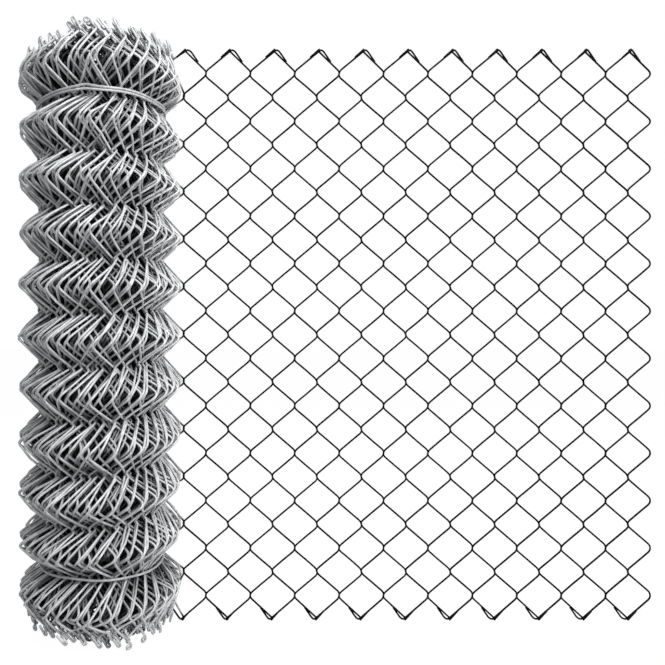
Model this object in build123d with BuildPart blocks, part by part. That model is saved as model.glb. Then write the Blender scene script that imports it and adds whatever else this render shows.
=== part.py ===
from build123d import *
import math
import os

# Chain-link fencing: a roll standing on end, tied twice round, with its loose end
# run out flat along +X. Millimetres, +Z up, origin on the roll's axis at floor level.

# Fence
fence_height = 1040
wire_diameter = 2.6
wire_sides = 4
hook_clearance = 0.3

# Flat run
run_plane_y = 25
run_wires = 21
mesh_half_width = 40.4
mesh_rows = 24
knuckle_height = 8.8
tail_length = 25
tail_slope = 1.45

# Roll
bore_radius = 40
valley_radius = 105.5
crest_radius = 137.5
crest_width = 14
wires_in_turn = 40
row_growth_share = 1.008
turn_count = 5
flat_turns = 3
turn_step = 13.5
groove_width = 6
groove_depth = 9

# Ties
tie_diameter = 4
tie_sides = 4
seat_clearance = 0.3
ramp_corners = 3
upper_start_corner = 21
upper_lap_corners = 20
lower_start_corner = 5
lower_lap_corners = 4

# Worked out from the sizes above
wire_radius = wire_diameter / 2
tie_radius = tie_diameter / 2
mid_height = fence_height / 2
layer = (wire_diameter + hook_clearance) / 2
tip_height = fence_height - wire_diameter
row_pitch = (tip_height - wire_diameter) / mesh_rows
leg_width = mesh_half_width + 2 * layer
leg_slope = (row_pitch - knuckle_height) / leg_width
tip_offset = layer * math.hypot(1, leg_slope) / leg_slope
bulge_count = mesh_rows // 2 - 1
bulge_pitch = 2 * row_pitch * row_growth_share
first_bulge = mid_height - (bulge_count - 1) / 2 * bulge_pitch
flank_slope = (crest_radius - valley_radius) / (bulge_pitch / 2 - crest_width / 2)
turn_pitch = (valley_radius - bore_radius) / turn_count
core_radius = bore_radius - groove_width
run_front_y = run_plane_y - layer - wire_radius
crest_reach = math.sqrt(crest_radius**2 - run_front_y**2)
run_start = crest_reach + seat_clearance + wire_radius + layer
tie_seat_radius = valley_radius + (tie_radius + seat_clearance) * math.hypot(1, flank_slope)


def save(part, name):
    part.label = name
    export_step(part, f"parts/{name}.step")


# A fence bends at its wires, so what goes round the roll has a corner at each wire of the outer turn
def corner(number, radius):
    angle = (2 * number + 1) * math.pi / wires_in_turn
    return radius * math.cos(angle), radius * math.sin(angle)


# Half section of one end of the roll, from the core outwards: each turn of the fence ends in a
# flat ring with a groove after it, and the outer turns stand back step by step.
# "up" is 1 for the top end and -1 for the bottom end.
def end_outline(up):
    outline = []
    inner = core_radius
    for turn in range(turn_count):
        outer = bore_radius + (turn + 1) * turn_pitch - groove_width
        set_back = max(0, turn + 1 - flat_turns) * turn_step
        level = mid_height + up * (mid_height - set_back)
        outline.append((inner, level))
        outline.append((outer, level))
        if turn < turn_count - 1:
            outline.append((outer + groove_width / 2, level - up * groove_depth))
        inner = outer + groove_width
    return outline


# The bulges of the squeezed mesh, bottom to top: a narrow crest at each row of diamonds,
# and a sharp valley between two rows.
def side_outline():
    outline = []
    for bulge in range(bulge_count):
        height = first_bulge + bulge * bulge_pitch
        outline.append((crest_radius, height - crest_width / 2))
        outline.append((crest_radius, height + crest_width / 2))
        if bulge < bulge_count - 1:
            outline.append((valley_radius, height + bulge_pitch / 2))
    return outline


# Route of one wire of the flat run, from its bottom hook to its top hook. Rising legs lie in
# the front layer and falling legs in the back one. At each bend a short upright piece passes
# between the layers, so that a bend hooks round the bend of the wire beside it.
def wire_route(number):
    left = run_start + number * mesh_half_width
    right = left + mesh_half_width
    front = run_plane_y - layer
    back = run_plane_y + layer
    route = []
    for row in range(1, mesh_rows):
        height = wire_diameter + row * row_pitch
        if (number + row) % 2 == 0:
            x, enter, leave = left - layer, back, front
        else:
            x, enter, leave = right + layer, front, back
        route.append((x, enter, height - knuckle_height / 2))
        route.append((x, leave, height + knuckle_height / 2))

    # Both ends fold over the neighbour's end and come back down its far side
    if number % 2 == 0:
        side, tip_x, top_leg, bottom_leg = 1, left - tip_offset, back, front
    else:
        side, tip_x, top_leg, bottom_leg = -1, right + tip_offset, front, back
    tail_run = tail_length / math.hypot(1, tail_slope)
    tail_rise = tail_run * tail_slope
    tail_x = tip_x - side * tail_run
    top_fold = run_plane_y - side * 3 * layer
    bottom_fold = run_plane_y + side * 3 * layer
    bottom_hook = [
        (tail_x, bottom_fold, wire_diameter + tail_rise),
        (tip_x, bottom_fold, wire_diameter),
        (tip_x, bottom_leg, wire_diameter),
    ]
    top_hook = [
        (tip_x, top_leg, tip_height),
        (tip_x, top_fold, tip_height),
        (tail_x, top_fold, tip_height - tail_rise),
    ]
    return bottom_hook + route + top_hook


# Route of a tie: once round in its valley, then on beside its own start for the length of the lap.
# The lapped stretch lies one wire higher, and as far out as the side of the valley needs.
def tie_route(height, start, lap):
    lap_rise = tie_diameter + seat_clearance
    route = []
    for step in range(wires_in_turn + lap):
        lifted = min(1, max(0, (step - wires_in_turn + ramp_corners) / ramp_corners))
        x, y = corner(start + step, tie_seat_radius + lifted * lap_rise * flank_slope)
        route.append((x, y, height + lifted * lap_rise))
    return route


# A wire of few sides carried along a bent route, with mitred bends
def wire_along(route, diameter, sides):
    with BuildPart() as wire:
        with BuildLine() as path:
            Polyline(*route)
        with BuildSketch(Plane(origin=path.line @ 0, z_dir=path.line % 0)):
            RegularPolygon(radius=diameter / 2, side_count=sides)
        sweep(transition=Transition.RIGHT)
    return wire.part


os.makedirs("parts", exist_ok=True)

# Roll: its half section carried round the corners, with the bore through it
with BuildPart() as fence_roll:
    with BuildLine() as round_path:
        corners = [corner(number, valley_radius) for number in range(wires_in_turn)]
        middle_of_side = (valley_radius * math.cos(math.pi / wires_in_turn), 0)
        Polyline(middle_of_side, *corners, close=True)
    with BuildSketch(Plane.XZ):
        with BuildLine():
            Polyline(*end_outline(-1), *side_outline(), *reversed(end_outline(1)), close=True)
        make_face()
    sweep(path=round_path.line, transition=Transition.RIGHT)
    with Locations((0, 0, mid_height)):
        Cylinder(bore_radius, fence_height, mode=Mode.SUBTRACT)
save(fence_roll.part, "fence_roll")

# Flat run: like wires side by side, each hooked into the next
for number in range(run_wires):
    run_wire = wire_along(wire_route(number), wire_diameter, wire_sides)
    save(run_wire, f"run_wire_{number + 1:02d}")

# Ties: one in the valley next to each end bulge
valley_offset = (bulge_count - 2) / 2 * bulge_pitch
upper_route = tie_route(mid_height + valley_offset, upper_start_corner, upper_lap_corners)
lower_route = tie_route(mid_height - valley_offset, lower_start_corner, lower_lap_corners)
save(wire_along(upper_route, tie_diameter, tie_sides), "upper_tie")
save(wire_along(lower_route, tie_diameter, tie_sides), "lower_tie")
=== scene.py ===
"""Looks of a chain-link fence: a tied roll standing on its end, its loose end run out flat.
Metres, +Z up, in the frame of the solids."""
import math

import bpy
import numpy as np
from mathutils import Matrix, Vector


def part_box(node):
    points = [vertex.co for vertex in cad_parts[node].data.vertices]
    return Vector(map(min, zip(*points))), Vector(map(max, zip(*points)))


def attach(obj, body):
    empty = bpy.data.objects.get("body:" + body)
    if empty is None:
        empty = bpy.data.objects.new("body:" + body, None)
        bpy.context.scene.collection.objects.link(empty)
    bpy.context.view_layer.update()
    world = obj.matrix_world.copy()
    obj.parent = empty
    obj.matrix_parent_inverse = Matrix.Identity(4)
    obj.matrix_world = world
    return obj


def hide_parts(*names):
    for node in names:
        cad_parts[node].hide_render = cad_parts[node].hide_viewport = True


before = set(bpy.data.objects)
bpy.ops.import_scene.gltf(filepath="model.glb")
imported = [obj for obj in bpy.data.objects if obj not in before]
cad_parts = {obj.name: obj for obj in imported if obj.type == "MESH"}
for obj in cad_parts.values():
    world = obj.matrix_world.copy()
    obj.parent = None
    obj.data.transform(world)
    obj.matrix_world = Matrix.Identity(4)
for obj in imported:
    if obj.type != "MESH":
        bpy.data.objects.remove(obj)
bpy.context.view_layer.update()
rng = np.random.default_rng(11)

# Directions: upwards, what is level in a place, and one that no wire starts along
UP = np.array([0.0, 0.0, 1.0])
LEVEL = (1.0, 1.0, 0.0)
ASKEW = UP + 0.3

# Wires as they look, then the wire and the hook clearance of the solids
RUN_WIRE = 0.0034
ROLL_WIRE = 0.0040
TIE_WIRE = 0.0042
HOOK_WIRE = 0.0026
HOOK_GAP = 0.0003

# Half the distance between the front and the back layer of the mesh
LAYER = (HOOK_WIRE + HOOK_GAP) / 2
RUN_LAYER = (RUN_WIRE + HOOK_GAP) / 2
ROLL_LAYER = 0.0034

# Sides of a wire, and points along its bends: in even rows, in odd rows, and at its ends
RUN_SIDES = 8
OUTER_SIDES = 6
INNER_SIDES = 4
TIE_SIDES = 10
RUN_POINTS = (6, 6)
LEAD_POINTS = (6, 4)
OUTER_POINTS = (6, 4)
INNER_POINTS = (3, 2)
END_POINTS = 3

# Flat run, measured on the frame
MESH_ROWS = 24
first_low, first_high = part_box("run_wire_01")
last_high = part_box("run_wire_21")[1]
RUN_WIRES = sum(name.startswith("run_wire_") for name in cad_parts)
HALF_WIDTH = (last_high.x - first_high.x) / (RUN_WIRES - 1)
RUN_START = first_high.x - HALF_WIDTH - LAYER - HOOK_WIRE / 2
RUN_Y = (first_low.y + first_high.y) / 2
TOP_TIP = first_high.z - HOOK_WIRE / 2
RUN_ALONG = np.array([[1.0, 0.0, 0.0]])
RUN_FRONT = np.array([[0.0, -1.0, 0.0]])

# Roll, measured on the frame
roll_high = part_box("fence_roll")[1]
FENCE_HEIGHT = roll_high.z
MID_HEIGHT = FENCE_HEIGHT / 2
CREST_RADIUS = roll_high.x
ROW_PITCH = (2 * TOP_TIP - FENCE_HEIGHT) / MESH_ROWS
RUN_HEIGHTS = (FENCE_HEIGHT - TOP_TIP) + ROW_PITCH * np.arange(MESH_ROWS + 1)

# Knuckles: their height, how far they lean, and how long a bend is, in even rows and in odd ones
RUN_KNUCKLES = (0.0064, 0.0064)
LEAD_KNUCKLES = (0.0064, 0.0040)
ROLL_KNUCKLES = (0.0040, 0.0040)
RUN_LEANS = (-0.0011, 0.0006)
NO_LEANS = (0, 0)
RUN_BENDS = (0.0064, 0.0064)
LEAD_BENDS = (0.0050, 0.0040)
ROLL_BENDS = (0.0120, 0.0040)
RUN_END_BEND = 0.0030
ROLL_END_BEND = 0.0028
LEG_SHARE = 0.48

# Legs: their uneven bow, and the place along a leg where it sags, towards its odd row
RUN_BOW = 0.0003
LEAD_BOW = 0
ROLL_BOW = 0.0012
SAG_SHARE = 0.65

# Folded ends of the run: row, way up, lean of the tips, and slope of the tails that lie close
RUN_EDGES = ((0, -1, 0.002, 1.1), (MESH_ROWS, 1, 0.0045, 0.9))
CLOSE_FOLD = -0.2
OPEN_FOLD = 2.6
FOLD_LAYERS = 3
OPEN_SLOPE = 1.45
RUN_TAIL = 0.023

# Winding of the roll: mesh folded in pleats, the outer turns looser than the inner ones
ROW_GROWTH = 1.008
ROLL_ROW = ROW_GROWTH * ROW_PITCH
PLEAT_DEPTH = 0.0355
CREST_ROUNDING = 0.0035
PLEAT_RADIUS = CREST_RADIUS + CREST_ROUNDING - ROLL_WIRE / 2 - PLEAT_DEPTH / 2
NEAR_PLEAT = math.radians(15.75)
FAR_PLEAT = math.radians(18.11)
OUTER_TURNS = 6
LOOSE_TURNS = 6
LOOSE_STEP = 0.0018
TURN_STEP = 0.0022
BORE_RADIUS = 0.040
TAUT_SIDE = math.radians(20)
FAR_WALL_SAG = 0.014
NEAR_WALL_BOW = 0.0025

# Slump of the rows on the front of the roll: by how much they have dropped at which heights
SLUMP_SIDE = math.radians(-72)
SLUMP_HEIGHTS = (0.070, 0.120, 0.270, 0.825, 0.920, 0.965)
SLUMP_DROPS = (0.019, 0.0115, 0.020, 0, -0.009, -0.0155)

# Unevenness of a roll wound by hand. A jitter is the spread of whole columns and that of single
# knuckles. A wave is a height, a number of waves a turn and a start
VALLEY_TILT = 0.0047
HEIGHT_JITTER = (0.0014, 0.0012)
ROUND_JITTER = (0.0030, 0.0018)
OUT_JITTER = (0.0014, 0.0010)
DRIFT_WAVES = ((0.0030, 0.83, 1.0), (0.0018, 2.3, 0))

# Ends of the roll. A swing is a mean, then what the sine and the cosine of the angle round the roll add
END_FLARE = 0.020
FLARE_TURNS = 10
FLARE_LOSS = 0.6
END_TURN = math.radians(5)
END_JITTER = 0.004
PRESSED_BAND = (0.36, 0.48)
PRESSED_DEPTH = 0.018
LAST_ROW_LIFTS = {-1: (0.010, -0.004, 0.010), 1: (0.016, 0, 0)}
NEXT_ROW_LIFT = (0.002, 0, 0.005)
OUTER_STAND_BACKS = {-1: (0.014, -0.003, -0.015), 1: (0.012, 0.006, -0.013)}
INNER_STAND_BACKS = {-1: 0.022, 1: 0.016}
OUTER_ENDS = 0.012
OUTER_TO_INNER = 0.060
LEAST_RISE = 0.008
SHORT_RISE = 0.45
TIP_LEAN = (0.55, 0.10)
TIP_INWARD = (0.05, 0.35)
HAIRPIN_PART = 0.82
HAIRPIN_TAIL = (0.018, 0.030)
HAIRPIN_WIDTH = (0.0042, 0.0054)
HAIRPIN_SPRING = 0.002
HAIRPIN_SHARES = (0, 0.4, 0.7, 1)
EYE_RADIUS = 0.0048
EYE_ANGLES = (1.4, 2.9, 4.4, 5.9)

# Ties: node, row, start, lap and place of a kink in degrees, and rise of the kink
TIE_ROWS = (3, MESH_ROWS - 3)
TIES = (
    ("upper_tie", TIE_ROWS[1], 193.5, 171, 274, 0.005),
    ("lower_tie", TIE_ROWS[0], 49.5, 27, 280, 0),
)
TIE_SWINGS = {TIE_ROWS[0]: (-0.0045, 0.0045, -0.0085), TIE_ROWS[1]: (0.0004, -0.006, 0.009)}
TIE_SQUEEZE = 0.004
TIE_SINK = 0.0015
TIE_POINTS = 150
TIE_FLATTENING = 0.0035
TIE_HEIGHT_WAVES = ((0.0008, 3, 0), (0.0006, 7, 1))
TIE_OUT_WAVES = ((0.0006, 5, 0),)
LAP_RAMP = 0.5
LAP_OUT = 0.0012
KINK_WIDTH = 0.12
KINK_BELOW = 0.4

# Galvanised steel: sizes of its patterns, bands of noise that they use, gloss, the depths in the roll
# between which painted shade darkens it, and how far below an end that starts
ZINC_PATCH = 0.012
ZINC_PATCH_BAND = (0.32, 0.68)
ZINC_GRIT = 0.0012
ZINC_ROUGHNESS = (0.50, 0.70)
ZINC_METALLIC = 0.2
GRIT_BUMP = 0.15
GRIT_HEIGHT = 0.0003
GLOSS_BAND = (0.3, 0.7)
PAINTED_SHADE_DEPTHS = (0.003, 0.023)
PAINTED_SHADE_FROM_END = 0.016

# Run wire, near black as painted shade of wire seen against the light: the same, and how far before
# the run the wire that leads into it turns bare
RUN_WIRE_SPECK = 0.004
RUN_WIRE_SPECK_BAND = (0.35, 0.7)
RUN_WIRE_ROUGHNESS = (0.6, 0.8)
RUN_WIRE_SPECULAR = 0.05
BARE_FROM = 0.002
BARE_TO = 0.009

# Sockets of a mix node for colours
FACTOR, FIRST, SECOND, MIXED = 0, 6, 7, 2

# Camera, surroundings, and lamps by name, place, size and power
CAMERA_LENS = 37.73
CAMERA_SENSOR = 36
CAMERA_PLACE = (0.4095, -1.243, 0.5238)
SKY_LIGHT = 0.085
FLOOR_SIZE = 40
FLOOR_GLOW = 1.05
FLOOR_SHOWN = 0.94
LAMP_AIM = (0.1, 0, 0.55)
LAMPS = (
    ("key", (0.6, -1.4, 2.7), 1.2, 44),
    ("fill", (2.0, -1.2, 1.6), 1.2, 50),
    ("rim", (0.3, 1.8, 2.2), 1.6, 20),
)


def linear(code):
    """An sRGB hex colour as linear RGBA."""
    parts = [int(code[i:i + 2], 16) / 255 for i in (1, 3, 5)]
    return [p / 12.92 if p <= 0.04045 else ((p + 0.055) / 1.055) ** 2.4 for p in parts] + [1.0]


def add_node(tree, kind, inputs=None, **settings):
    """One shader node with its settings, its inputs set to values or linked to sockets."""
    node = tree.nodes.new(kind)
    for name, value in settings.items():
        setattr(node, name, value)
    for name, value in (inputs or {}).items():
        if isinstance(value, bpy.types.NodeSocket):
            tree.links.new(value, node.inputs[name])
        else:
            node.inputs[name].default_value = value
    return node


def new_material(name):
    material = bpy.data.materials.new(name)
    material.use_nodes = True
    material.node_tree.nodes.clear()
    return material, material.node_tree


def row_in_roll(tree, height, across, radius):
    """Row of the mesh that a spot belongs to, counted from the middle one, before the front slumped."""
    front = (math.cos(SLUMP_SIDE), math.sin(SLUMP_SIDE), 0)
    toward = add_node(tree, "ShaderNodeVectorMath", {0: across, 1: front}, operation="DOT_PRODUCT")
    facing = add_node(tree, "ShaderNodeMath", {
        0: toward.outputs["Value"], 1: radius}, operation="DIVIDE", use_clamp=True)
    drop = SLUMP_DROPS[0]
    for i in range(len(SLUMP_DROPS) - 1):
        step = add_node(tree, "ShaderNodeMapRange", {
            "Value": height, "From Min": SLUMP_HEIGHTS[i], "From Max": SLUMP_HEIGHTS[i + 1],
            "To Max": SLUMP_DROPS[i + 1] - SLUMP_DROPS[i]})
        total = add_node(tree, "ShaderNodeMath", {0: drop, 1: step.outputs["Result"]}, operation="ADD")
        drop = total.outputs[0]
    before = add_node(tree, "ShaderNodeMath", {
        0: facing.outputs[0], 1: drop, 2: height}, operation="MULTIPLY_ADD")
    row = add_node(tree, "ShaderNodeMapRange", {
        "Value": before.outputs[0], "From Min": MID_HEIGHT, "From Max": MID_HEIGHT + ROLL_ROW}, clamp=False)
    return row.outputs["Result"]


def depth_in_roll(tree, place):
    """How deep a spot lies under the pleated outside of the roll or under its ends, in metres."""
    level = add_node(tree, "ShaderNodeVectorMath", {0: place, 1: LEVEL}, operation="MULTIPLY")
    across = level.outputs[0]
    radius = add_node(tree, "ShaderNodeVectorMath", {0: across}, operation="LENGTH").outputs["Value"]
    height = add_node(tree, "ShaderNodeSeparateXYZ", {"Vector": place}).outputs["Z"]
    row = row_in_roll(tree, height, across, radius)
    pleat = add_node(tree, "ShaderNodeMath", {0: row, 1: 1.0}, operation="PINGPONG")
    away = add_node(tree, "ShaderNodeMath", {0: row}, operation="ABSOLUTE").outputs[0]
    at_end = add_node(tree, "ShaderNodeMath", {0: away, 1: MESH_ROWS / 2 - 2}, operation="GREATER_THAN")
    fold = add_node(tree, "ShaderNodeMapRange", {
        "Value": at_end.outputs[0], "To Min": -PLEAT_DEPTH, "To Max": END_FLARE / 2 - PLEAT_DEPTH})
    outside = add_node(tree, "ShaderNodeMath", {
        0: pleat.outputs[0], 1: fold.outputs["Result"], 2: CREST_RADIUS + CREST_ROUNDING},
        operation="MULTIPLY_ADD")
    below = add_node(tree, "ShaderNodeMath", {0: outside.outputs[0], 1: radius}, operation="SUBTRACT")
    from_end = add_node(tree, "ShaderNodeMath", {
        0: away, 1: -ROLL_ROW, 2: MID_HEIGHT - PAINTED_SHADE_FROM_END}, operation="MULTIPLY_ADD")
    nearest = add_node(tree, "ShaderNodeMath", {
        0: below.outputs[0], 1: from_end.outputs[0]}, operation="MINIMUM")
    return nearest.outputs[0]


def galvanised_steel(name, dark, light, deep=None):
    """Hot-dipped zinc on drawn wire: a dull silver grey, in soft patches about a centimetre long, with
    a fine grit that is drawn coarse enough to show. Given a deep colour, it turns to that colour deep in
    a roll: painted shade, for the shade that falls between the turns."""
    material, tree = new_material(name)
    place = add_node(tree, "ShaderNodeTexCoord").outputs["Object"]
    patches = add_node(tree, "ShaderNodeTexNoise", {
        "Vector": place, "Scale": 1 / ZINC_PATCH, "Detail": 3.0})
    grit = add_node(tree, "ShaderNodeTexNoise", {
        "Vector": place, "Scale": 1 / ZINC_GRIT, "Detail": 2.0})
    paler = add_node(tree, "ShaderNodeMapRange", {
        "Value": patches.outputs["Fac"], "From Min": ZINC_PATCH_BAND[0], "From Max": ZINC_PATCH_BAND[1]})
    colour = add_node(tree, "ShaderNodeMix", {
        FACTOR: paler.outputs["Result"], FIRST: linear(dark), SECOND: linear(light)}, data_type="RGBA")
    # Painted shade: the colour darkens to the deep one with depth under the outside of the roll
    if deep:
        painted_shade = add_node(tree, "ShaderNodeMapRange", {
            "Value": depth_in_roll(tree, place), "From Min": PAINTED_SHADE_DEPTHS[0], "From Max": PAINTED_SHADE_DEPTHS[1]},
            interpolation_type="SMOOTHSTEP")
        colour = add_node(tree, "ShaderNodeMix", {
            FACTOR: painted_shade.outputs["Result"], FIRST: colour.outputs[MIXED], SECOND: linear(deep)},
            data_type="RGBA")
    dull = add_node(tree, "ShaderNodeMapRange", {
        "Value": grit.outputs["Fac"], "From Min": GLOSS_BAND[0], "From Max": GLOSS_BAND[1],
        "To Min": ZINC_ROUGHNESS[0], "To Max": ZINC_ROUGHNESS[1]})
    bump = add_node(tree, "ShaderNodeBump", {
        "Height": grit.outputs["Fac"], "Strength": GRIT_BUMP, "Distance": GRIT_HEIGHT})
    shader = add_node(tree, "ShaderNodeBsdfPrincipled", {
        "Base Color": colour.outputs[MIXED], "Metallic": ZINC_METALLIC,
        "Roughness": dull.outputs["Result"], "Normal": bump.outputs["Normal"]})
    add_node(tree, "ShaderNodeOutputMaterial", {"Surface": shader.outputs[0]})
    return material


def painted_shade_wire(name, dark, light, bare=None):
    """Wire nearly black and satin, with specks a few millimetres long: the black is painted shade, of a
    wire seen against the light. The wire that joins the run to the roll turns to bare grey zinc as it
    leaves the run, where the painted shade ends."""
    material, tree = new_material(name)
    place = add_node(tree, "ShaderNodeTexCoord").outputs["Object"]
    specks = add_node(tree, "ShaderNodeTexNoise", {
        "Vector": place, "Scale": 1 / RUN_WIRE_SPECK, "Detail": 3.0})
    paler = add_node(tree, "ShaderNodeMapRange", {
        "Value": specks.outputs["Fac"], "From Min": RUN_WIRE_SPECK_BAND[0], "From Max": RUN_WIRE_SPECK_BAND[1]})
    # Painted shade: the near-black base colour of the run's wire
    colour = add_node(tree, "ShaderNodeMix", {
        FACTOR: paler.outputs["Result"], FIRST: linear(dark), SECOND: linear(light)}, data_type="RGBA")
    if bare:
        across = add_node(tree, "ShaderNodeSeparateXYZ", {"Vector": place}).outputs["X"]
        bared = add_node(tree, "ShaderNodeMapRange", {
            "Value": across, "From Min": RUN_START - BARE_FROM, "From Max": RUN_START - BARE_TO})
        zinc = add_node(tree, "ShaderNodeMix", {
            FACTOR: paler.outputs["Result"], FIRST: linear(bare[0]), SECOND: linear(bare[1])},
            data_type="RGBA")
        colour = add_node(tree, "ShaderNodeMix", {
            FACTOR: bared.outputs["Result"], FIRST: colour.outputs[MIXED], SECOND: zinc.outputs[MIXED]},
            data_type="RGBA")
    dull = add_node(tree, "ShaderNodeMapRange", {
        "Value": specks.outputs["Fac"], "From Min": GLOSS_BAND[0], "From Max": GLOSS_BAND[1],
        "To Min": RUN_WIRE_ROUGHNESS[0], "To Max": RUN_WIRE_ROUGHNESS[1]})
    shader = add_node(tree, "ShaderNodeBsdfPrincipled", {
        "Base Color": colour.outputs[MIXED], "Roughness": dull.outputs["Result"],
        "Specular IOR Level": RUN_WIRE_SPECULAR})
    add_node(tree, "ShaderNodeOutputMaterial", {"Surface": shader.outputs[0]})
    return material


def unit(vectors):
    return vectors / np.linalg.norm(vectors, axis=-1, keepdims=True)


def rounded(corners, cut, points):
    """Many bent routes at once, a list of (wires, 3) corners, each inner corner as a short curve."""
    route = [corners[0]]
    for i in range(1, len(corners) - 1):
        here = corners[i]
        back, ahead = corners[i - 1] - here, corners[i + 1] - here
        back_length = np.linalg.norm(back, axis=-1, keepdims=True)
        ahead_length = np.linalg.norm(ahead, axis=-1, keepdims=True)
        near = np.minimum(cut, LEG_SHARE * np.minimum(back_length, ahead_length))
        start, end = here + back / back_length * near, here + ahead / ahead_length * near
        for s in np.linspace(0, 1, points):
            route.append((1 - s) ** 2 * start + 2 * s * (1 - s) * here + s ** 2 * end)
    return route


def knuckle_bend(before, enter, leave, after, cut, points):
    """One smooth bend from leg to leg, past the two corners of a knuckle."""
    start = enter + unit(before - enter) * cut
    end = leave + unit(after - leave) * cut
    bend = []
    for s in np.linspace(0, 1, points):
        ends = (1 - s) ** 3 * start + s ** 3 * end
        bend.append(ends + 3 * s * (1 - s) ** 2 * enter + 3 * s ** 2 * (1 - s) * leave)
    return bend


def round_wires(name, routes, diameter, sides, material):
    """One joined mesh of round wires along many routes of equal point count, with closed ends."""
    wires, points = routes.shape[:2]
    tangents = unit(np.gradient(routes, axis=1))
    spoke = np.cross(tangents[:, 0], ASKEW)
    turns = 2 * math.pi * np.arange(sides) / sides
    rings = np.empty((wires, points, sides, 3))
    for i in range(points):
        along = tangents[:, i]
        spoke = unit(spoke - np.sum(spoke * along, -1, keepdims=True) * along)
        other = np.cross(along, spoke)
        ring = spoke[:, None] * np.cos(turns)[:, None] + other[:, None] * np.sin(turns)[:, None]
        rings[:, i] = routes[:, i, None] + ring * diameter / 2
    index = np.arange(wires * points * sides).reshape(wires, points, sides)
    here, ahead = index[:, :-1], index[:, 1:]
    walls = np.stack([here, np.roll(here, -1, 2), np.roll(ahead, -1, 2), ahead], -1).reshape(-1, 4)
    fan = np.array([(0, k, k + 1, k + 2) for k in range(1, sides - 2, 2)])
    caps = [index[:, -1][:, fan].reshape(-1, 4), index[:, 0][:, fan[:, ::-1]].reshape(-1, 4)]
    mesh = bpy.data.meshes.new(name)
    mesh.from_pydata(rings.reshape(-1, 3), [], np.concatenate([walls, *caps]))
    mesh.shade_smooth()
    mesh.materials.append(material)
    piece = bpy.data.objects.new(name, mesh)
    bpy.context.scene.collection.objects.link(piece)
    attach(piece, "root")
    return piece


def wall_of(left, right):
    """Each wire's own directions: along its wall from left column to right column, and out at the front."""
    along = (right - left).mean(1)
    along[:, 2] = 0
    along = unit(along)
    front = np.stack([along[:, 1], -along[:, 0], np.zeros(len(along))], -1)
    return along, front


def zigzag(first, left, right, layer, knuckles, leans, bow, sag):
    """Corners of wires that hook into their neighbours at every row: rising legs lie in the front layer,
    falling legs in the back one, and at each knuckle the wire passes from one layer to the other. The
    legs bow unevenly, and those that sag lie deeper in the roll."""
    along, front = wall_of(left, right)
    numbers = first + np.arange(len(left))
    corners = []
    for row in range(1, MESH_ROWS):
        at_left = (numbers + row) % 2 == 0
        side = np.where(at_left, -1, 1)[:, None]
        knot = np.where(at_left[:, None], left[:, row], right[:, row]) + side * LAYER * along
        upright = knuckles[row % 2] / 2 * UP + leans[row % 2] * along
        enter = knot + side * layer * front - upright
        leave = knot - side * layer * front + upright
        if corners:
            share = np.where(sag > 0, SAG_SHARE if row % 2 else 1 - SAG_SHARE, 0.5)
            middle = corners[-1] + share * (enter - corners[-1])
            inward = -unit(middle * LEVEL)
            spread = rng.normal(0, bow, (len(left), 2))
            corners.append(middle + spread[:, :1] * front + spread[:, 1:] * along + sag * inward)
        corners += [enter, leave]
    side = np.where(numbers % 2 == 0, -1, 1)[:, None]
    return corners, along, front, side


def finish_route(bottom, middle, top, bends, points, end_bend):
    """The whole route: tail and tip, knuckles and legs, tip and tail."""
    route = rounded(bottom + [middle[0]], end_bend, END_POINTS)
    chain = [bottom[-1]] + middle + [top[0]]
    for i in range(0, len(middle), 3):
        odd = (1 + i // 3) % 2
        before, enter, leave, after = chain[i:i + 4]
        route += knuckle_bend(before, enter, leave, after, bends[odd], points[odd])
        if i + 2 < len(middle):
            route.append(middle[i + 2])
    closing = rounded([middle[-1]] + top, end_bend, END_POINTS)[1:]
    return np.stack(route + closing + [top[-1]], 1)


def run_routes():
    """The flat run: columns of knuckles a half diamond apart, and the folded ends that close each edge."""
    knots = np.empty((RUN_WIRES + 1, MESH_ROWS + 1, 3))
    knots[..., 0] = RUN_START + HALF_WIDTH * np.arange(RUN_WIRES + 1)[:, None]
    knots[..., 1] = RUN_Y
    knots[..., 2] = RUN_HEIGHTS
    left, right = knots[:-1], knots[1:]
    middle, along, front, side = zigzag(0, left, right, RUN_LAYER, RUN_KNUCKLES, RUN_LEANS, RUN_BOW, 0)
    bottom, top = run_ends(left, right, along, front, side)
    return finish_route(bottom[::-1], middle, top, RUN_BENDS, RUN_POINTS, RUN_END_BEND)


def run_ends(left, right, along, front, side):
    """The folded ends at the bottom and top edge of the run. Of the two wires that meet in a tip, one
    folds its tail closely along its neighbour's leg. The other's tail stands off and comes back to it."""
    slope = (ROW_PITCH - RUN_KNUCKLES[0]) / (HALF_WIDTH + 2 * LAYER)
    past = RUN_LAYER * math.hypot(1, slope) / slope
    ends = []
    for row, up, lean, close_slope in RUN_EDGES:
        close = side * up < 0
        tip = np.where(side < 0, left[:, row], right[:, row]) + up * lean * along
        on_leg = tip + side * past * along + up * side * RUN_LAYER * front
        stand_off = np.where(close, CLOSE_FOLD, OPEN_FOLD)
        folded = tip + side * stand_off * past * along - up * side * FOLD_LAYERS * RUN_LAYER * front
        steep = np.where(close, close_slope, OPEN_SLOPE)
        tail = RUN_TAIL * unit(side * along - up * steep * UP)
        ends.append([on_leg, folded, folded + tail])
    return ends


def swing(measure, angle):
    """A measure that swings once round the roll."""
    mean, sine, cosine = measure
    return mean + sine * np.sin(angle) + cosine * np.cos(angle)


def waves(table, angle):
    """Waves that run on round the roll."""
    return sum(height * np.sin(count * angle + start) for height, count, start in table)


def uneven(jitter, shape):
    """Random unevenness of columns and of their knuckles."""
    column, knuckle = jitter
    return rng.normal(0, column, (shape[0], 1)) + rng.normal(0, knuckle, shape)


def pressed_in(angle):
    """How far the ends of the roll are pressed in, on one side of it."""
    return np.interp(-np.sin(angle - SLUMP_SIDE), PRESSED_BAND, (0, PRESSED_DEPTH))


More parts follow.
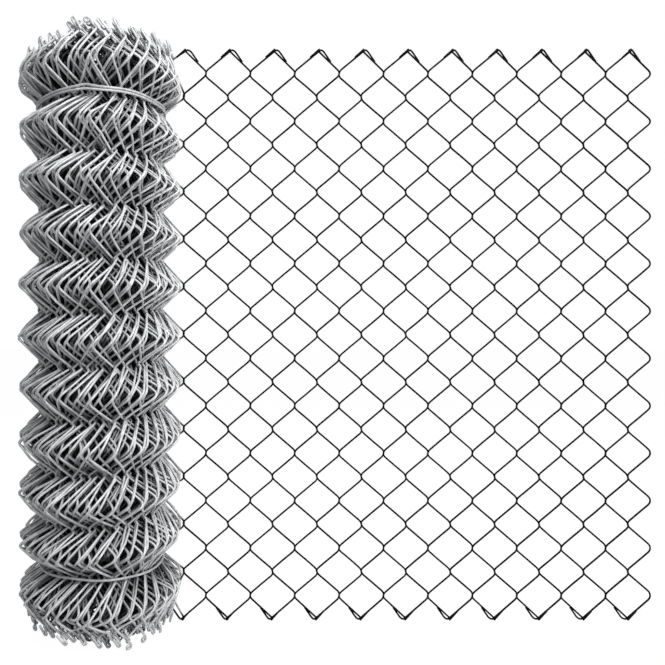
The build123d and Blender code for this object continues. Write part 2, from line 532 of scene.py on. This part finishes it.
def spiral_columns():
    """Angle, radius and turn of each column of knuckles in the roll, from the run inwards. The mesh is
    folded in pleats: a column at the crest of a pleat, then one at its foot, each a little further in."""
    start = math.atan2(RUN_Y, RUN_START)
    angle, columns = start, []
    while True:
        turn = (angle - start) / (2 * math.pi)
        wound = LOOSE_STEP * min(turn, LOOSE_TURNS) + TURN_STEP * max(turn - LOOSE_TURNS, 0)
        radius = PLEAT_RADIUS - wound
        if radius - PLEAT_DEPTH / 2 < BORE_RADIUS:
            return np.array(columns)
        at_crest = len(columns) % 2 == 0
        columns.append((angle, radius + (PLEAT_DEPTH if at_crest else -PLEAT_DEPTH) / 2, turn))
        stretch = 1 if turn < LOOSE_TURNS else PLEAT_RADIUS / radius
        angle += (NEAR_PLEAT if at_crest else FAR_PLEAT) * stretch


def roll_knots(columns):
    """Place of every knuckle of the roll, with the unevenness of a fence that was rolled by hand."""
    rows = np.arange(MESH_ROWS + 1)
    shape = len(columns), len(rows)
    around, out, turns = columns[:, :1], columns[:, 1:2], columns[:, 2]
    tilt = VALLEY_TILT * np.cos(around)
    height = MID_HEIGHT + ROLL_ROW * (rows - MESH_ROWS / 2) + waves(DRIFT_WAVES, around)
    height = height + uneven(HEIGHT_JITTER, shape) + tilt * (rows % 2)

    # The front has slumped. The ties hold their rows, and the end rows go by their own rule
    facing = np.clip(np.cos(around - SLUMP_SIDE), 0, 1)
    free = np.isin(rows, (0, 1, *TIE_ROWS, MESH_ROWS - 1, MESH_ROWS), invert=True)
    height = height - facing * free * np.interp(height, SLUMP_HEIGHTS, SLUMP_DROPS)
    radius = np.repeat(out, len(rows), 1)
    for row in TIE_ROWS:
        radius[turns < OUTER_TURNS, row] -= TIE_SQUEEZE
        height[:, row] += (swing(TIE_SWINGS[row], around) - tilt)[:, 0]
    angle = around + uneven(ROUND_JITTER, shape) / radius
    radius = radius + uneven(OUT_JITTER, shape)

    # The last rows aren't held in by a next one, so they stand out
    flare = END_FLARE * (1 - FLARE_LOSS * np.clip(turns / FLARE_TURNS, 0, 1))
    for row, up in ((1, -1), (MESH_ROWS - 1, 1)):
        radius[:, row] += flare
        angle[:, row] -= END_TURN
        lift = swing(LAST_ROW_LIFTS[up], around) - pressed_in(around)
        height[:, row] += up * lift[:, 0] + rng.normal(0, END_JITTER, len(columns))
        height[:, row - up] += up * swing(NEXT_ROW_LIFT, around)[:, 0]
    return np.stack([radius * np.cos(angle), radius * np.sin(angle), height], -1)


def roll_tip(knot, up, tall):
    """End of a wire in the roll, from its last knuckle on: a narrow hairpin, or here and there a curled
    eye. The outer ends stand back from the fence's edge, and more so on one side of the roll. Of two
    wires hooked together, one ends tall and the other is folded over short."""
    each = len(knot), 1
    out = unit(knot * LEVEL)
    round_way = np.cross(UP, out)
    angle = np.arctan2(out[:, 1:2], out[:, :1])
    radius = np.linalg.norm(knot[:, :2], axis=1, keepdims=True)
    depth = np.clip((CREST_RADIUS - OUTER_ENDS - radius) / OUTER_TO_INNER, 0, 1)
    outer, inner = swing(OUTER_STAND_BACKS[up], angle), INNER_STAND_BACKS[up]
    stand_back = outer * (1 - depth) + inner * depth + pressed_in(angle)
    edge = MID_HEIGHT + up * (MID_HEIGHT - stand_back - np.abs(rng.normal(0, END_JITTER, each)))
    rise = np.maximum(up * (edge - knot[:, 2:]), LEAST_RISE) * np.where(tall, 1, SHORT_RISE)
    lean = rise * rng.normal(*TIP_LEAN, each)
    tip = knot - up * lean * round_way - rise * rng.uniform(*TIP_INWARD, each) * out + up * rise * UP
    leg = unit(tip - knot)
    across = unit(np.cross(out, leg)) * np.where(rng.random(each) < 0.5, -1, 1)
    tail = rng.uniform(*HAIRPIN_TAIL, each)
    beside = tip + across * rng.uniform(*HAIRPIN_WIDTH, each)
    hairpin = [beside - leg * tail * share + out * HAIRPIN_SPRING * share for share in HAIRPIN_SHARES]
    eye = [tip + EYE_RADIUS * (across * (1 - math.cos(a)) + leg * math.sin(a)) for a in EYE_ANGLES]
    pick = rng.random(each) < HAIRPIN_PART
    return [tip] + [np.where(pick, a, b) for a, b in zip(hairpin, eye)]


def roll_routes(knots, first, count, points):
    """The wires of one turn. Of the two walls of a pleat, the near one bows out a little, and the far one
    sags, except where the roll is taut."""
    left, right = knots[first:first + count], knots[first + 1:first + 1 + count]
    far_wall = ((first + np.arange(count)) % 2 == 1)[:, None]
    from_taut = np.arctan2(left[:, 0, 1], left[:, 0, 0])[:, None] - TAUT_SIDE
    slack = (1 - np.cos(from_taut)) / 2
    sag = np.where(far_wall, slack * FAR_WALL_SAG, -NEAR_WALL_BOW)
    middle = zigzag(first, left, right, ROLL_LAYER, ROLL_KNUCKLES, NO_LEANS, ROLL_BOW, sag)[0]
    bottom, top = roll_tip(middle[0], -1, ~far_wall), roll_tip(middle[-1], 1, far_wall)
    routes = finish_route(bottom[::-1], middle, top, ROLL_BENDS, points, ROLL_END_BEND)
    routes[..., 2] = np.clip(routes[..., 2], ROLL_WIRE / 2, FENCE_HEIGHT - ROLL_WIRE / 2)
    return routes


def lead_route(knots):
    """The first wire of the roll, which ends in a tip of the run at both edges."""
    left, right = knots[:1], knots[1:2]
    middle = zigzag(0, left, right, RUN_LAYER, LEAD_KNUCKLES, NO_LEANS, LEAD_BOW, 0)[0]
    bottom, top = run_ends(left, left, RUN_ALONG, RUN_FRONT, np.array([[1]]))
    return finish_route(bottom[::-1], middle, top, LEAD_BENDS, LEAD_POINTS, RUN_END_BEND)


def build_roll(zinc, lead_painted_shade):
    """The roll, turn by turn. Its first wire is the thin one that leads into the flat run."""
    columns = spiral_columns()
    knots = roll_knots(columns)
    knots[0, :, 0] = RUN_START
    knots[0, :, 1] = RUN_Y
    knots[0, :, 2] = RUN_HEIGHTS
    lead = round_wires("lead_wire", lead_route(knots), RUN_WIRE, RUN_SIDES, lead_painted_shade)
    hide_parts("fence_roll")
    turns = columns[:-1, 2].astype(int)
    turns[0] = -1
    for turn in range(turns.max() + 1):
        wires = np.flatnonzero(turns == turn)
        points, sides = (OUTER_POINTS, OUTER_SIDES) if turn < OUTER_TURNS else (INNER_POINTS, INNER_SIDES)
        routes = roll_routes(knots, wires[0], len(wires), points)
        piece = round_wires(f"roll_turn_{turn + 1:02d}", routes, ROLL_WIRE, sides, zinc)
        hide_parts("fence_roll")


def build_run(shaded_run_material):
    """The wires of the flat run, each a piece of its own."""
    routes = run_routes()
    for number in range(RUN_WIRES):
        node = f"run_wire_{number + 1:02d}"
        route = routes[number:number + 1]
        piece = round_wires(f"{node}_round", route, RUN_WIRE, RUN_SIDES, shaded_run_material)
        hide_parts(node)


def tie_route(node, row, start, lap, kink_angle, kink_rise):
    """A tie once round the roll and on past its own start, the lapped stretch one wire higher."""
    low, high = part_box(node)
    seat = max(high.x, high.y) - TIE_WIRE / 2 - TIE_SINK
    height = low.z + TIE_WIRE / 2
    angles = start + np.linspace(0, 2 * math.pi + lap, TIE_POINTS)
    lifted = np.clip((angles - start - 2 * math.pi + LAP_RAMP) / LAP_RAMP, 0, 1)
    lifted = lifted * lifted * (3 - 2 * lifted)
    from_kink = (angles - kink_angle + math.pi) % (2 * math.pi) - math.pi
    kink = kink_rise * np.exp(-np.abs(from_kink) / KINK_WIDTH) * (KINK_BELOW + (1 - KINK_BELOW) * lifted)
    wander = waves(TIE_HEIGHT_WAVES, angles) + swing(TIE_SWINGS[row], angles)
    rise = height + lifted * TIE_WIRE + kink + wander
    flattened = seat - TIE_FLATTENING * np.cos(angles) ** 2
    radius = flattened + LAP_OUT * lifted + waves(TIE_OUT_WAVES, angles)
    return np.stack([radius * np.cos(angles), radius * np.sin(angles), rise], -1)[None]


def build_ties(zinc):
    """The two rings of tie wire."""
    for node, row, start, lap, kink, kink_rise in TIES:
        route = tie_route(node, row, math.radians(start), math.radians(lap), math.radians(kink), kink_rise)
        piece = round_wires(f"{node}_round", route, TIE_WIRE, TIE_SIDES, zinc)
        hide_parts(node)


def build_camera():
    camera = bpy.data.cameras.new("camera")
    camera.lens = CAMERA_LENS
    camera.sensor_width = CAMERA_SENSOR
    holder = bpy.data.objects.new("camera", camera)
    holder.location = CAMERA_PLACE
    holder.rotation_euler = (math.pi / 2, 0, 0)
    bpy.context.scene.collection.objects.link(holder)
    bpy.context.scene.camera = holder


def seen_directly(tree):
    """1 for rays from the camera, or from a mirror or glass, and 0 for rays that gather light."""
    path = add_node(tree, "ShaderNodeLightPath")
    seen = path.outputs["Is Camera Ray"]
    for ray in ("Is Glossy Ray", "Is Transmission Ray"):
        either = add_node(tree, "ShaderNodeMath", {0: seen, 1: path.outputs[ray]}, operation="MAXIMUM")
        seen = either.outputs[0]
    return seen


def build_surroundings():
    """A white sky that gives only a little light of its own."""
    world = bpy.data.worlds.new("studio")
    bpy.context.scene.world = world
    world.use_nodes = True
    tree = world.node_tree
    tree.nodes.clear()
    strength = add_node(tree, "ShaderNodeMapRange", {"Value": seen_directly(tree), "To Min": SKY_LIGHT})
    sky = add_node(tree, "ShaderNodeBackground", {
        "Color": linear("#FFFFFF"), "Strength": strength.outputs["Result"]})
    add_node(tree, "ShaderNodeOutputWorld", {"Surface": sky.outputs[0]})


def build_floor():
    """White painted floor, which shows white and keeps a faint shadow."""
    material, tree = new_material("white_floor")
    paint = add_node(tree, "ShaderNodeBsdfDiffuse", {"Color": linear("#C8C8C8")})
    glow = add_node(tree, "ShaderNodeEmission", {"Color": linear("#FFFFFF"), "Strength": FLOOR_GLOW})
    shown = add_node(tree, "ShaderNodeMapRange", {"Value": seen_directly(tree), "To Max": FLOOR_SHOWN})
    mixed = add_node(tree, "ShaderNodeMixShader", {
        0: shown.outputs["Result"], 1: paint.outputs[0], 2: glow.outputs[0]})
    add_node(tree, "ShaderNodeOutputMaterial", {"Surface": mixed.outputs[0]})
    bpy.ops.object.select_all(action="DESELECT")
    bpy.ops.mesh.primitive_plane_add(size=FLOOR_SIZE, location=(0, 0, 0))
    floor = bpy.context.object
    floor.name = "floor"
    floor.data.materials.append(material)


def build_lamps():
    """Soft lamps above the front, and one behind."""
    for name, place, size, watts in LAMPS:
        lamp = bpy.data.lights.new(name, "AREA")
        lamp.size = size
        lamp.energy = watts
        holder = bpy.data.objects.new(name, lamp)
        holder.location = place
        x, y, z = np.subtract(LAMP_AIM, place)
        holder.rotation_euler = (math.atan2(math.hypot(x, y), -z), 0, math.atan2(x, -y) + math.pi)
        bpy.context.scene.collection.objects.link(holder)


bpy.context.scene.view_settings.view_transform = "Standard"
build_camera()
build_surroundings()
build_floor()
build_lamps()
# The roll's zinc darkens to near black deep in the roll: painted shade
roll_zinc = galvanised_steel("galvanised_steel", "#B4B6B8", "#D8DADB", deep="#161717")
tie_zinc = galvanised_steel("galvanised_tie_steel", "#A4A6A8", "#CACCCD")
# The run's wire is near black: painted shade of wire seen against the light
run_painted_shade = painted_shade_wire("painted_shade_wire", "#060607", "#101011")
lead_painted_shade = painted_shade_wire("painted_shade_to_bare_wire", "#060607", "#101011", bare=("#9A9C9E", "#BEC0C1"))
build_roll(roll_zinc, lead_painted_shade)
build_run(run_painted_shade)
build_ties(tie_zinc)
